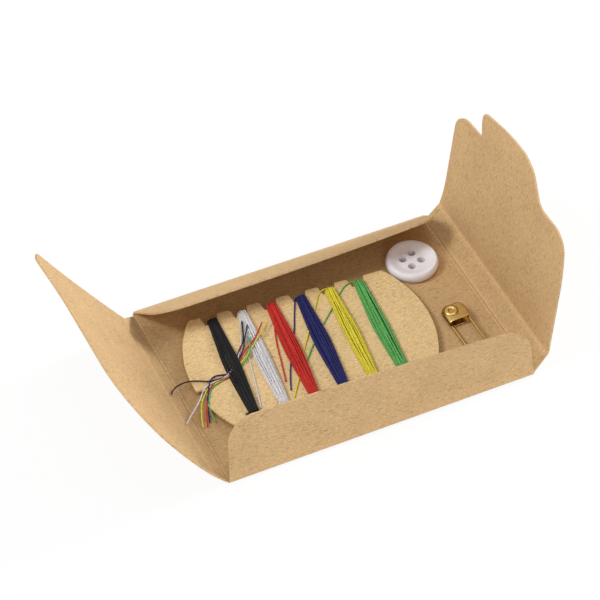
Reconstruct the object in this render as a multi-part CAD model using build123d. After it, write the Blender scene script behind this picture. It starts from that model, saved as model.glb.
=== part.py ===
from build123d import *
from math import ceil, cos, radians, sin, sqrt, tan
import os

# Compact sewing kit, in millimetres. A creased kraft card folder stands open round its contents: a
# notched card wound with six colours of thread, a four hole button, a safety pin and a needle.
# X runs along the folder from left to right, Y from front to back, Z up. The origin is the middle
# of the base panel's underside, which is the face that the kit rests on.

os.makedirs("parts", exist_ok=True)

# Folder of kraft card
base_length = 72.0
base_width = 52.0
board = 0.45
crease_gap = 0.05
side_inset = 0.2

# Front and back flaps
flap_height = 14.2
flap_taper = 1.8
flap_corner = 5.5
front_open_angle = 103.0
back_open_angle = 138.5

# Spines, the narrow strips between base and covers
spine_depth = 5.2
left_spine_angle = 51.0
right_spine_angle = 50.0
left_spine_inset = 3.3
right_spine_inset = 1.4

# Left cover, with a sharp back tip
left_cover_angle = 6.0
left_cover_reach = 35.4
left_tip_reach = 33.6
left_tip_side = 3.0
left_front_reach = 30.2
left_front_round = (17.2, 12.8)
left_hollow = 0.6
left_tip_corner = 0.8

# Right cover, with a locking tongue between two shoulders
right_cover_angle = 33.0
right_cover_reach = 37.4
front_shoulder_reach = 30.7
back_shoulder_reach = 28.2
tongue_front = -10.6
tongue_back = 15.5
tongue_slot = 1.0

# Thread card, which leaves room for the button and the pin at its right
card_left_room = 3.3
card_right_room = 13.1
card_radius = (base_length - card_left_room - card_right_room) / 2
card_half_width = 16.0
card_thickness = 0.5
card_centre = (card_left_room + card_radius - base_length / 2, 0.1)
card_turn = -5.0
notch_left_inset = 4.63
notch_right_inset = 6.53
notch_depth = 2.6
notch_width = 2.9
notch_flare = 0.9
end_notch_centre = -6.3
end_notch_width = 4.2
end_notch_depth = 1.3

# Sewing thread and its windings
thread_diameter = 0.3
winding_turns = 4
turn_pitch = 0.72
middle_spread = 1.35
bulk_thickness = 0.7
bulk_margin = 0.12
thread_gap = 0.03
seat_gap = 0.03
least_thread_gap = 0.4

# Button
button_diameter = 12.0
button_thickness = 2.4
button_rim = 1.7
button_dish = 0.55
button_edge = 0.5
button_hole = 1.8
button_hole_ring = 2.05
button_hole_turn = -25.0
button_inset = (9.4, 12.1)

# Safety pin
pin_wire = 0.6
pin_half_spread = 2.1
pin_length = 19.2
pin_yaw = 1.5
coil_pitch = 0.68
coil_inset = (7.65, 7.9)
cap_width = 5.3
cap_length = 5.6
cap_sheet = 0.25
cap_play = 0.05
cap_corner = 1.7
cap_grip = 1.05
cap_head = 1.3
point_length = 3.0
point_radius = 0.06
arm_gap_angle = 36.0

# Needle
needle_length = 36.0
needle_diameter = 0.7
needle_tip = 6.0
needle_point = 0.1
eye_length = 2.4
eye_width = 0.3
eye_inset = 1.6
needle_offset = 2.0
needle_inset = 5.4

inner_face = board
thread_radius = thread_diameter / 2
pin_radius = pin_wire / 2


# Places of the creases and of the card

def front_place():
    """Local X along the crease, local -Y out of it, turned up from lying flat."""
    return Pos(0, -base_width / 2, inner_face) * Rot(-front_open_angle, 0, 0)


def back_place():
    """Local X along the crease, local +Y out of it."""
    return Pos(0, base_width / 2, inner_face) * Rot(back_open_angle, 0, 0)


def left_spine_place():
    """Local -X out of the inner crease."""
    return Pos(-base_length / 2, 0, inner_face) * Rot(0, left_spine_angle, 0)


def left_cover_place():
    """Local -X out of the outer crease."""
    return left_spine_place() * Pos(-spine_depth, 0, 0) * Rot(0, left_cover_angle, 0)


def right_spine_place():
    """Local +X out of the inner crease."""
    return Pos(base_length / 2, 0, inner_face) * Rot(0, -right_spine_angle, 0)


def right_cover_place():
    """Local +X out of the outer crease."""
    return right_spine_place() * Pos(spine_depth, 0, 0) * Rot(0, -right_cover_angle, 0)


def card_underside():
    """The card lies on the thread that is wound under it."""
    return inner_face + seat_gap + thread_diameter + thread_gap + bulk_thickness


def card_place():
    """The middle of the card's thickness, with the card turned a little on the base."""
    middle = card_underside() + card_thickness / 2
    return Pos(card_centre[0], card_centre[1], middle) * Rot(0, 0, card_turn)


def notch_place(index):
    """The notches are spread evenly along the card's straight edges, between its corners."""
    corner = sqrt(card_radius ** 2 - card_half_width ** 2)
    first = notch_left_inset - corner
    last = corner - notch_right_inset
    return first + index * (last - first) / (len(winding_colours) - 1)


# Folder

def board_sheet(face):
    """A piece of board whose inner face lies on the outline and whose thickness is below it."""
    return extrude(face, amount=board, dir=(0, 0, -1))


def base_panel():
    return board_sheet(Rectangle(base_length - 2 * crease_gap, base_width - 2 * crease_gap).face())


def end_flap(direction):
    """Front flap (direction -1) or back flap (direction 1), drawn flat with rounded free corners."""
    half = base_length / 2 - side_inset
    narrow = half - flap_taper
    near = direction * crease_gap
    far = direction * flap_height
    sheet = make_face(Polyline((-half, near), (half, near), (narrow, far), (-narrow, far), close=True))
    free_corners = sorted(sheet.vertices(), key=lambda corner: direction * corner.Y)[2:]
    return board_sheet(fillet(free_corners, flap_corner).face())


def spine(direction, back_inset):
    """Left spine (direction -1) or right spine (direction 1), cut slanting at its back end."""
    half = base_width / 2 - side_inset
    inner = direction * crease_gap
    outer = direction * (spine_depth - crease_gap)
    strip = Polyline((inner, -half), (outer, -half), (outer, half - back_inset), (inner, half), close=True)
    return board_sheet(make_face(strip))


def left_cover():
    """Drawn flat: a full round front corner, a faintly hollow free edge and a sharp back tip."""
    front = side_inset - base_width / 2
    back = base_width / 2 - side_inset - left_spine_inset
    round_start = (left_front_round[0] - left_front_reach, front)
    crown = (-left_front_reach, front + left_front_round[1])
    peak = (-left_cover_reach, back - left_tip_side)
    hollow = (left_hollow + (crown[0] + peak[0]) / 2, (crown[1] + peak[1]) / 2)
    tip = (-left_tip_reach, back)
    edges = [
        Line((-crease_gap, back), (-crease_gap, front)),
        Line((-crease_gap, front), round_start),
        TangentArc(round_start, crown, tangent=(-1, 0)),
        ThreePointArc(crown, hollow, peak),
        Line(peak, tip),
        Line(tip, (-crease_gap, back)),
    ]
    sheet = make_face(edges)
    tip_corners = [sheet.vertices().sort_by_distance(corner)[0] for corner in (peak, tip)]
    return board_sheet(fillet(tip_corners, left_tip_corner).face())


def right_cover():
    """Drawn flat: two rounded shoulders, and a tongue with a narrow slot beside its back edge."""
    half = base_width / 2 - side_inset
    front_corner = (front_shoulder_reach * 0.72, -half + 1.4)
    shoulder_turn = (front_shoulder_reach * 0.94, -half + 3.8)
    shoulder_start = (front_shoulder_reach, -half + 8.0)
    tongue_root = (front_shoulder_reach, tongue_front)
    tongue_turn = (right_cover_reach - 2.2, tongue_front + 2.6)
    tongue_top = (right_cover_reach, tongue_front + 8.1)
    tongue_crown = (right_cover_reach - 0.4, (tongue_front + tongue_back) / 2 + 2.5)
    tongue_end = (right_cover_reach - 1.6, tongue_back - 2.5)
    tongue_nose = (right_cover_reach - 2.8, tongue_back - 0.3)
    slot_mouth = (right_cover_reach - 4.6, tongue_back)
    slot_foot = (back_shoulder_reach, tongue_back - tongue_slot)
    back_corner = (back_shoulder_reach, half - 5.4)
    back_turn = (back_shoulder_reach - 1.4, half - 1.5)
    back_side = (back_shoulder_reach - 5.6, half)
    back_root = (spine_depth, half)
    edges = [
        Line((crease_gap, half - right_spine_inset), (crease_gap, -half)),
        Line((crease_gap, -half), front_corner),
        ThreePointArc(front_corner, shoulder_turn, shoulder_start),
        Line(shoulder_start, tongue_root),
        ThreePointArc(tongue_root, tongue_turn, tongue_top),
        ThreePointArc(tongue_top, tongue_crown, tongue_end),
        ThreePointArc(tongue_end, tongue_nose, slot_mouth),
        Line(slot_mouth, slot_foot),
        Line(slot_foot, back_corner),
        ThreePointArc(back_corner, back_turn, back_side),
        Line(back_side, back_root),
        Line(back_root, (crease_gap, half - right_spine_inset)),
    ]
    return board_sheet(make_face(edges))


# Thread card and its windings

def notch(index, side):
    """One rounded notch, open at the card's long edge (side 1 at the back, -1 at the front)."""
    foot = side * (card_half_width - notch_depth)
    mouth = side * (card_half_width + notch_depth)
    half_foot = notch_width / 2
    half_mouth = half_foot + notch_flare
    outline = Polyline((-half_foot, foot), (half_foot, foot), (half_mouth, mouth), (-half_mouth, mouth),
                       close=True)
    return Pos(notch_place(index), 0) * make_face(outline)


def thread_card():
    """A disc cut off straight at front and back, with six notches a side and one at its left end."""
    sheet = Circle(card_radius) & Rectangle(2 * card_radius, 2 * card_half_width)
    for index in range(len(winding_colours)):
        sheet -= notch(index, 1)
        sheet -= notch(index, -1)
    end_reach = sqrt(card_radius ** 2 - end_notch_centre ** 2)
    end_notch = Rectangle(2 * end_notch_depth, end_notch_width)
    sheet -= Pos(-end_reach, end_notch_centre) * end_notch
    bumps = [corner for corner in sheet.vertices() if abs(corner.Y) > card_half_width - 0.01]
    sheet = fillet(bumps, 0.6)
    return extrude(sheet, amount=card_thickness / 2, both=True)


def bulk_half_length():
    """The straight stretch of a winding, from the card's middle to the middle of its end turn."""
    return card_half_width - notch_depth - card_thickness / 2


def bulk_half_width():
    return (winding_turns - 1) * turn_pitch / 2 - bulk_margin


def winding_bulk(grow=0.0):
    """The inner thread of one winding, as a closed band round the card, wider at its middle."""
    ends = bulk_half_width() + thread_radius + grow
    middle = ends * middle_spread
    height = card_thickness / 2 + bulk_thickness + grow
    straight = bulk_half_length()
    reach = straight + height
    right_side = ThreePointArc((ends, -reach), (middle, 0), (ends, reach))
    left_side = ThreePointArc((-ends, reach), (-middle, 0), (-ends, -reach))
    front_end = Line((-ends, -reach), (ends, -reach))
    back_end = Line((ends, reach), (-ends, reach))
    plan = make_face([right_side, back_end, left_side, front_end])
    block = extrude(plan, amount=height, both=True)
    side_view = Plane.YZ * SlotCenterToCenter(2 * straight, 2 * height)
    band = block & extrude(side_view, amount=middle, both=True)
    hole = Box(2 * middle, 2 * (card_half_width - notch_depth), card_thickness)
    return band - hole


def easy_bend(start, finish):
    """Two equal arcs that carry a thread sideways between two stretches that run along Y."""
    heading = (0, 1 if finish[1] > start[1] else -1, 0)
    middle = tuple((a + b) / 2 for a, b in zip(start, finish))
    first = TangentArc(start, middle, tangent=heading)
    second = TangentArc(middle, finish, tangent=first % 1)
    return [first, second]


def winding_path():
    """Turns round the card, spread at the middle of its face and a pitch apart at its notches."""
    height = card_thickness / 2 + bulk_thickness + thread_gap + thread_radius
    straight = bulk_half_length()
    first = -(winding_turns - 1) / 2 * turn_pitch
    edges = [Line((first, thread_diameter - straight, -height), (first, -straight, -height))]
    for turn in range(winding_turns):
        x = first + turn * turn_pitch
        edges.append(ThreePointArc((x, -straight, -height), (x, -straight - height, 0), (x, -straight, height)))
        spread = (x * middle_spread, 0, height)
        edges += easy_bend((x, -straight, height), spread)
        edges += easy_bend(spread, (x, straight, height))
        edges.append(ThreePointArc((x, straight, height), (x, straight + height, 0), (x, straight, -height)))
        if turn < winding_turns - 1:
            edges += easy_bend((x, straight, -height), (x + turn_pitch, -straight, -height))
    edges.append(Line((-first, straight, -height), (-first, straight - thread_diameter, -height)))
    return Wire(edges)


def least_gap(path, diameter):
    """The least clear distance from a wound tube to its own other turns, measured on points."""
    count = ceil(path.length / diameter)
    points = [path.position_at(step / count) for step in range(count + 1)]
    apart = ceil(4 * turn_pitch / diameter) + 2
    least = path.length
    for i, here in enumerate(points):
        for there in points[i + apart:]:
            least = min(least, (there - here).length)
    return least - diameter


def winding_tube():
    path = winding_path()
    section = Plane(path @ 0, z_dir=path % 0) * Circle(thread_radius)
    tube = sweep(section, path=path)
    print(f"winding: {winding_turns} turns, length {path.length:.1f}, "
          f"volume {tube.volume:.2f}, section times length {section.area * path.length:.2f}, "
          f"least gap {least_gap(path, thread_diameter):.2f}, wanted over {least_thread_gap}")
    return tube


# Loose thread

def strand(name, route):
    """A thread along hand picked points, with every corner rounded as far as its runs allow."""
    points = [Vector(*point) for point in route]
    runs = [b - a for a, b in zip(points, points[1:])]
    radii = []
    for before, after in zip(runs, runs[1:]):
        turn = radians(before.get_angle(after))
        radii.append(0.45 * min(before.length, after.length) / tan(turn / 2))
    path = FilletPolyline(*points, radius=radii)
    section = Plane(path @ 0, z_dir=path % 0) * Circle(thread_radius)
    tube = sweep(section, path=path)
    print(f"{name}: least radius {min(radii):.2f}, length {path.length:.1f}, "
          f"volume {tube.volume:.3f}, section times length {section.area * path.length:.3f}")
    return tube


def card_strand(name, route):
    """A thread that lies flat on the card's face, from points in the card's own frame."""
    level = card_thickness / 2 + thread_gap + thread_radius
    return strand(name, [(x, y, level) for x, y in route])


def crossing_thread(name, route):
    """A tail that runs over the card, cut where the windings lie on it."""
    tube = card_strand(name, route)
    for index in range(len(winding_colours)):
        tube -= Pos(notch_place(index), 0, 0) * winding_bulk(grow=thread_gap)
    return tube


def bunch_thread(name, left, right):
    """The two ends of one thread of the bunch that is tucked under the first winding."""
    return strand(name + " left", left) + strand(name + " right", right)


# Button

def button():
    """A turned disc with a raised rim, a shallow dish and four holes."""
    radius = button_diameter / 2
    dish = radius - button_rim
    rise = button_thickness - button_dish
    profile = [
        Line((0, 0), (radius - button_edge, 0)),
        ThreePointArc((radius - button_edge, 0), (radius, button_thickness / 2),
                      (radius - button_edge, button_thickness)),
        Line((radius - button_edge, button_thickness), (dish + button_edge, button_thickness)),
        ThreePointArc((dish + button_edge, button_thickness), (dish - 0.2, button_thickness - button_dish / 2),
                      (dish - 1.3, rise)),
        Line((dish - 1.3, rise), (0, rise)),
        Line((0, rise), (0, 0)),
    ]
    disc = revolve(Plane.XZ * make_face(profile), axis=Axis.Z)
    drill = Cylinder(button_hole / 2, 3 * button_thickness)
    for quarter in range(4):
        disc -= Rot(0, 0, button_hole_turn + 90 * quarter) * Pos(button_hole_ring, 0, 0) * drill
    return disc


def button_seat():
    place = (base_length / 2 - button_inset[0], base_width / 2 - button_inset[1])
    return Pos(place[0], place[1], inner_face + seat_gap)


# Safety pin, drawn with its coil at the origin and its cap towards +Y

def fixed_level():
    """Height of the fixed leg's middle above the base, over the lower sheet of the cap."""
    return cap_sheet + cap_play + pin_radius


def arm_level():
    """The pointed arm leaves the coil one turn and a half above the fixed leg."""
    return fixed_level() + 1.5 * coil_pitch


def leg_length():
    return pin_length - pin_half_spread - pin_radius


def pin_seat():
    place = (base_length / 2 - coil_inset[0], coil_inset[1] - base_width / 2)
    return Pos(place[0], place[1], inner_face + seat_gap) * Rot(0, 0, pin_yaw)


def half_turn(start_side, level):
    """Half a turn of the coil, from one side of the pin (-1 or 1) to the other, below the origin."""
    start = (start_side * pin_half_spread, 0, level)
    middle = (0, start_side * pin_half_spread, level + coil_pitch / 4)
    finish = (-start_side * pin_half_spread, 0, level + coil_pitch / 2)
    return ThreePointArc(start, middle, finish)


def pin_tube(edges):
    path = Wire(edges)
    return sweep(Plane(path @ 0, z_dir=path % 0) * Circle(pin_radius), path=path)


def pin_spring_wire():
    """The fixed leg, clinched in the cap, and one full turn of the coil."""
    low = fixed_level()
    leg = Line((-pin_half_spread, leg_length() - cap_head, low), (-pin_half_spread, 0, low))
    return pin_tube([leg, half_turn(-1, low), half_turn(1, low + coil_pitch / 2)])


def pin_point_arm():
    """The rest of the coil and the pointed arm, which turns about the coil's middle."""
    level = arm_level()
    r = pin_half_spread
    start = radians(180 + arm_gap_angle)
    middle = radians(270 + arm_gap_angle / 2)
    bend = ThreePointArc((r * cos(start), r * sin(start), level), (r * cos(middle), r * sin(middle), level),
                         (r, 0, level))
    shank_end = leg_length() - cap_head - point_length
    point = Pos(r, shank_end + point_length / 2, level) * Rot(-90, 0, 0)
    return pin_tube([bend, Line((r, 0, level), (r, shank_end, level))]) + point * Cone(
        pin_radius, point_radius, point_length)


def pin_cap():
    """Folded sheet: open towards the coil and on the arm's side, solid where it grips the fixed leg."""
    height = arm_level() + pin_radius + cap_play + cap_sheet
    end = leg_length()
    plan = Pos(0, end - cap_length / 2) * Rectangle(cap_width, cap_length)
    head = plan.vertices().sort_by(Axis.Y)[2:]
    cap = extrude(fillet(head, cap_corner), amount=height)
    room_place = Pos(cap_grip, -cap_sheet, height / 2)
    room = room_place * Pos(0, end - cap_length / 2, 0) * Box(cap_width, cap_length, height - 2 * cap_sheet)
    leg_hole = Pos(-pin_half_spread, leg_length() - cap_head + cap_play, fixed_level()) * Rot(90, 0, 0)
    hole_radius = pin_radius + cap_play
    return cap - room - leg_hole * Cylinder(
        hole_radius, cap_length, align=(Align.CENTER, Align.CENTER, Align.MIN))


# Needle

def needle():
    """A sharp: round shank, long point and a slot for an eye, lying along X."""
    radius = needle_diameter / 2
    profile = [
        Line((0, 0), (needle_length, 0)),
        Line((needle_length, 0), (needle_length, needle_point)),
        Line((needle_length, needle_point), (needle_length - needle_tip, radius)),
        Line((needle_length - needle_tip, radius), (radius, radius)),
        CenterArc((radius, 0), radius, 90, 90),
    ]
    shank = revolve(make_face(profile), axis=Axis.X)
    slot = Pos(eye_inset + eye_length / 2, 0, 0) * SlotOverall(eye_length, eye_width)
    return shank - extrude(slot, amount=needle_diameter, both=True)


def needle_seat():
    height = inner_face + seat_gap + needle_diameter / 2
    return Pos(needle_offset - needle_length / 2, needle_inset - base_width / 2, height)


# Colours of the six windings, from left to right

winding_colours = ["black", "white", "red", "blue", "yellow", "green"]

# Tails that cross the card from their winding to the front left, in the card's own frame

crossing_routes = {
    "white": [(-12.2, 3.4), (-13.7, 1.0), (-14.4, -4.0), (-15.0, -8.4), (-15.9, -12.9)],
    "red": [(-4.9, 9.6), (-6.4, 6.6), (-7.2, 3.0), (-8.0, -1.6), (-8.9, -5.4), (-9.7, -8.2)],
    "blue": [(2.0, 13.2), (0.2, 11.4), (-1.2, 8.2), (-3.2, 3.8), (-5.8, -1.0), (-7.6, -5.2), (-9.2, -9.6)],
    "yellow": [(8.6, 13.4), (6.8, 12.4), (5.4, 10.0), (1.6, 5.2), (-2.2, 0.6), (-5.4, -4.6), (-7.4, -9.4),
               (-8.6, -12.4)],
    "green": [(15.6, 13.4), (13.9, 13.0), (12.2, 11.4), (9.6, 8.6), (6.0, 5.6), (1.2, 1.4), (-1.8, -2.2)],
}

# Loose ends of the bunch that is tucked under the black winding, from the winding's two sides
# outwards, with heights from the middle of the card's thickness

left_end_routes = {
    "black": [(-19.7, -1.3, 0.43), (-22.0, -1.25, 0.6), (-25.0, -1.1, 0.75), (-28.1, -1.0, 0.6),
              (-30.4, -2.3, -0.2)],
    "white": [(-19.7, -1.66, 0.43), (-22.2, -2.3, 0.45), (-24.5, -3.8, 0.5), (-27.0, -6.5, 0.45),
              (-28.8, -8.6, -0.2), (-29.8, -9.7, -0.9)],
    "yellow": [(-19.7, -2.02, 0.43), (-22.0, -3.0, 0.45), (-24.3, -4.8, 0.48), (-26.6, -7.4, 0.45),
               (-28.2, -10.6, -0.4), (-29.2, -13.6, -1.05)],
    "red": [(-19.7, -2.38, 0.43), (-21.8, -3.5, 0.45), (-23.9, -5.4, 0.47), (-26.2, -8.2, 0.45),
            (-27.5, -11.0, -0.3), (-28.2, -13.6, -1.05)],
    "blue": [(-19.7, -2.74, 0.43), (-21.5, -4.1, 0.45), (-23.3, -6.2, 0.47), (-25.2, -8.7, 0.45),
             (-26.7, -10.7, 0.4), (-27.3, -12.2, -0.4), (-27.4, -13.4, -1.05)],
    "green": [(-19.7, -3.1, 0.43), (-21.2, -4.7, 0.45), (-22.7, -6.9, 0.45), (-24.2, -9.4, 0.45),
              (-25.8, -11.5, 0.42), (-26.4, -12.8, -0.4), (-26.4, -13.8, -1.05)],
}
right_end_routes = {
    "black": [(-16.5, 1.74, 0.43), (-14.4, 3.5, 0.9), (-13.1, 6.2, 1.5), (-12.4, 8.8, 1.6), (-12.1, 11.2, 1.6)],
    "white": [(-16.5, 2.1, 0.43), (-14.8, 4.4, 0.5), (-13.6, 8.0, 0.6), (-12.95, 12.0, 0.6)],
    "blue": [(-16.5, 1.38, 0.43), (-14.2, 2.9, 1.0), (-12.7, 5.4, 1.6), (-11.7, 8.0, 1.65), (-11.2, 9.6, 1.6)],
    "red": [(-16.5, 1.02, 0.43), (-13.8, 2.3, 1.1), (-11.2, 4.4, 1.7), (-9.6, 6.6, 1.7), (-8.0, 9.0, 1.3)],
    "green": [(-16.5, 0.66, 0.43), (-14.4, 1.1, 0.8), (-13.0, 2.2, 1.5), (-11.6, 3.2, 1.65)],
    "yellow": [(-16.5, 0.3, 0.43), (-13.9, 0.6, 1.0), (-11.6, 2.2, 1.7), (-9.4, 4.8, 1.7), (-7.8, 7.2, 1.2),
               (-6.9, 8.9, 0.9)],
}


def build():
    parts = {
        "base_panel": Pos(0, 0, inner_face) * base_panel(),
        "front_flap": front_place() * end_flap(-1),
        "back_flap": back_place() * end_flap(1),
        "left_spine": left_spine_place() * spine(-1, left_spine_inset),
        "left_cover": left_cover_place() * left_cover(),
        "right_spine": right_spine_place() * spine(1, right_spine_inset),
        "right_cover": right_cover_place() * right_cover(),
        "thread_card": card_place() * thread_card(),
        "button": button_seat() * button(),
        "pin_cap": pin_seat() * pin_cap(),
        "pin_spring_wire": pin_seat() * pin_spring_wire(),
        "pin_point_arm": pin_seat() * pin_point_arm(),
        "needle": needle_seat() * needle(),
    }
    bulk = winding_bulk()
    turns = winding_tube()
    for index, colour in enumerate(winding_colours):
        place = card_place() * Pos(notch_place(index), 0, 0)
        parts[f"{colour}_winding_bulk"] = place * bulk
        parts[f"{colour}_winding_turns"] = place * turns
        crossing = crossing_routes.get(colour)
        if crossing:
            parts[f"{colour}_crossing_thread"] = card_place() * crossing_thread(colour, crossing)
        ends = bunch_thread(colour, left_end_routes[colour], right_end_routes[colour])
        parts[f"{colour}_thread_ends"] = card_place() * ends
    return parts


for node, shape in build().items():
    export_step(shape, f"parts/{node}.step")
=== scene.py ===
import bmesh
import bpy
import random
from math import cos, pi, radians, sin
from mathutils import Matrix, Vector
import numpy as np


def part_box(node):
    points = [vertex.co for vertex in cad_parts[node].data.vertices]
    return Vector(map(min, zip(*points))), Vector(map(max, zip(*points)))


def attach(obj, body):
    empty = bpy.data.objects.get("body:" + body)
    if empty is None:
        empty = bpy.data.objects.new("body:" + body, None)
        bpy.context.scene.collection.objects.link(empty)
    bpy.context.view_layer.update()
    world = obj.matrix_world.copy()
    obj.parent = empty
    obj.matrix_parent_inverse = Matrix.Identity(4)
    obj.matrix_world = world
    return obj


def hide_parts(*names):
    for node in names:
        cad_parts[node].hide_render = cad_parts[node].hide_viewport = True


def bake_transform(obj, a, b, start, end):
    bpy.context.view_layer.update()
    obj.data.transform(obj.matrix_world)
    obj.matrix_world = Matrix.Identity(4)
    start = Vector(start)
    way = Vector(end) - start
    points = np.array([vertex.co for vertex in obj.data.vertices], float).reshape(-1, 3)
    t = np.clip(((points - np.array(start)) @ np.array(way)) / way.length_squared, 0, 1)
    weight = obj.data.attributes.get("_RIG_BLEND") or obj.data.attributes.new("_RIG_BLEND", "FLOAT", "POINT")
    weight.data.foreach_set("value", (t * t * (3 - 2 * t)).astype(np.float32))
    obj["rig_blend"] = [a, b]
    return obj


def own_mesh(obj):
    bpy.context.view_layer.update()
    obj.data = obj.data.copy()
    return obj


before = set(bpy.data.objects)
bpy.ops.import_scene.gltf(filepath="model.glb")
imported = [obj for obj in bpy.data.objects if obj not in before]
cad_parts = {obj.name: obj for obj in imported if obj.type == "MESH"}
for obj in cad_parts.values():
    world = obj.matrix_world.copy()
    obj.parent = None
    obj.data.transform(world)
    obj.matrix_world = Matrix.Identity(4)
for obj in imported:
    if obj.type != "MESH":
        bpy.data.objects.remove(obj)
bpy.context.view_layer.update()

# Folder board. The folder is one sheet of brown kraft card, about half a millimetre thick, cut out
# and creased. Its inner face is made flat, folded along its creases and then given its thickness.
# The paper's pattern follows each sheet through an attribute that keeps every point's flat place.

_, base_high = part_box("base_panel")
board = base_high.z
half_length = 0.036
half_width = 0.026
side_inset = 0.0002
hinge_margin = 0.0008
fold_radius = 0.00045
fold_steps = 5
crease_shade_width = 0.00022
strip_width = 0.0026
corner_steps = 10
cut_edge_width = 0.00007
cut_edge_angle = radians(55)
same_place = 1e-7

kraft_colour = (0.555, 0.366, 0.180)
kraft_edge_colour = (0.585, 0.395, 0.210)
kraft_edge_grain = 0.6
kraft_contrast = 0.12
kraft_relief = 0.00003
kraft_bump = 0.14
cloud_scale = 110.0
mottle_scale = 2100.0
mottle_share = 0.62
tone_range = (0.32, 0.68)
crease_wear = 0.34
# Painted shade on the crease line: the share of the colour left there.
crease_shade = 0.55
crease_shade_range = (0.25, 0.9)
fibre_fineness = 4600
fibre_shift = 0.01
# Each lay of fibres: its turn in degrees, its fineness lengthwise, the two noise levels between
# which a fibre comes to show, and how much it lightens or darkens the card.
kraft_fibres = ((20, 1100, 0.58, 0.66, 0.20), (-55, 1150, 0.59, 0.67, 0.18),
                (85, 1050, 0.58, 0.66, -0.24), (-15, 700, 0.61, 0.67, -0.30))


def node_maker(material):
    """A short way to add shader nodes to a material and join them."""
    tree = material.node_tree

    def add(kind, inputs=None, **settings):
        node = tree.nodes.new(kind)
        for name, value in settings.items():
            setattr(node, name, value)
        for name, value in (inputs or {}).items():
            if isinstance(value, bpy.types.NodeSocket):
                tree.links.new(value, node.inputs[name])
            else:
                node.inputs[name].default_value = value
        return node

    return add


def new_material(name):
    """A material with its principled shader, and the maker for its other nodes."""
    material = bpy.data.materials.new(name)
    material.use_nodes = True
    return material, material.node_tree.nodes["Principled BSDF"], node_maker(material)


def join(material, source, target):
    """Joins a node's output to an input."""
    material.node_tree.links.new(source, target)


def calculate(add, operation, *values):
    """The result of a math node on the given values."""
    return add("ShaderNodeMath", dict(enumerate(values)), operation=operation).outputs[0]


def noise(add, place, scale, detail, **settings):
    """Cloudy noise over a place, from 0 to 1."""
    inputs = {"Vector": place, "Scale": scale, "Detail": detail, **settings}
    return add("ShaderNodeTexNoise", inputs).outputs["Fac"]


def remap(add, value, low, high, new_low, new_high):
    """A value carried from one range to another, and held inside it."""
    inputs = {"Value": value, "From Min": low, "From Max": high,
              "To Min": new_low, "To Max": new_high}
    return add("ShaderNodeMapRange", inputs).outputs["Result"]


def tint(add, colour, level):
    """A colour made lighter or darker."""
    inputs = {0: colour, "Scale": level}
    return add("ShaderNodeVectorMath", inputs, operation="SCALE").outputs["Vector"]


def bump(add, height, strength, distance):
    """Fine relief, as the direction in which each spot faces."""
    inputs = {"Height": height, "Strength": strength, "Distance": distance}
    return add("ShaderNodeBump", inputs).outputs["Normal"]


def kraft_material(name, colour, grain=1.0):
    """Uncoated brown card: cloudy tone, fine mottling, light and dark fibres, worn creases, and painted
    shade along a crease.
    """
    material, shader, add = new_material(name)
    place = add("ShaderNodeAttribute", attribute_name="sheet").outputs["Vector"]
    clouds = noise(add, place, cloud_scale, 3.0)
    mottle = noise(add, place, mottle_scale, 5.0, Roughness=0.75)
    tone = add("ShaderNodeMix", {"Factor": mottle_share, "A": clouds, "B": mottle})
    contrast = kraft_contrast * grain
    total = remap(add, tone.outputs["Result"], *tone_range, 1.0 - contrast, 1.0 + contrast)
    height = mottle
    for turn, stretch, low, high, gain in kraft_fibres:
        lay = add("ShaderNodeMapping", {"Vector": place, "Rotation": (0, 0, radians(turn)),
                                        "Location": (turn * fibre_shift, 0, 0),
                                        "Scale": (stretch, fibre_fineness, 1)})
        fibre = noise(add, lay.outputs["Vector"], 1.0, 1.5, Distortion=0.8)
        total = calculate(add, "ADD", total, remap(add, fibre, low, high, 0.0, gain * grain))
        height = calculate(add, "ADD", height, fibre)
    worn = add("ShaderNodeAttribute", attribute_name="wear").outputs["Fac"]
    scuff = calculate(add, "MULTIPLY", worn, mottle)
    scuff = calculate(add, "MULTIPLY_ADD", scuff, crease_wear, total)
    # Painted shade along the sheet's first crease, darkening the colour down to crease_shade on the crease
    # line.
    crease_shade_amount = add("ShaderNodeAttribute", attribute_name="crease_shade_mask").outputs["Fac"]
    painted_crease_shade = remap(add, crease_shade_amount, *crease_shade_range, 1.0, crease_shade)
    tinted = tint(add, colour, calculate(add, "MULTIPLY", scuff, painted_crease_shade))
    join(material, tinted, shader.inputs["Base Color"])
    join(material, bump(add, height, kraft_bump, kraft_relief), shader.inputs["Normal"])
    shader.inputs["Roughness"].default_value = 0.86
    shader.inputs["Specular IOR Level"].default_value = 0.22
    return material


kraft = kraft_material("kraft board", kraft_colour)
kraft_edge = kraft_material("kraft board edge", kraft_edge_colour, grain=kraft_edge_grain)


def new_object(bm, name, *materials):
    """Makes a finished bmesh a smooth object with its materials, and puts it in the scene."""
    mesh = bpy.data.meshes.new(name)
    bm.to_mesh(mesh)
    bm.free()
    for material in materials:
        mesh.materials.append(material)
    mesh.shade_smooth()
    piece = bpy.data.objects.new(name, mesh)
    bpy.context.collection.objects.link(piece)
    return piece


def cut_sheet(corners, rounds):
    """A flat piece of the sheet, anticlockwise, on the inner face's level, with rounded corners."""
    bm = bmesh.new()
    bm.verts.layers.float_vector.new("sheet")
    bm.verts.layers.float.new("wear")
    bm.verts.layers.float.new("crease_shade_mask")
    cut = [bm.verts.new((x, y, board)) for x, y in corners]
    bm.faces.new(cut)
    for corner, size in zip(cut, rounds):
        if size:
            bmesh.ops.bevel(bm, geom=[corner], offset=size, offset_type="OFFSET",
                            affect="VERTICES", segments=corner_steps, profile=0.5, material=-1)
    return bm


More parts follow.
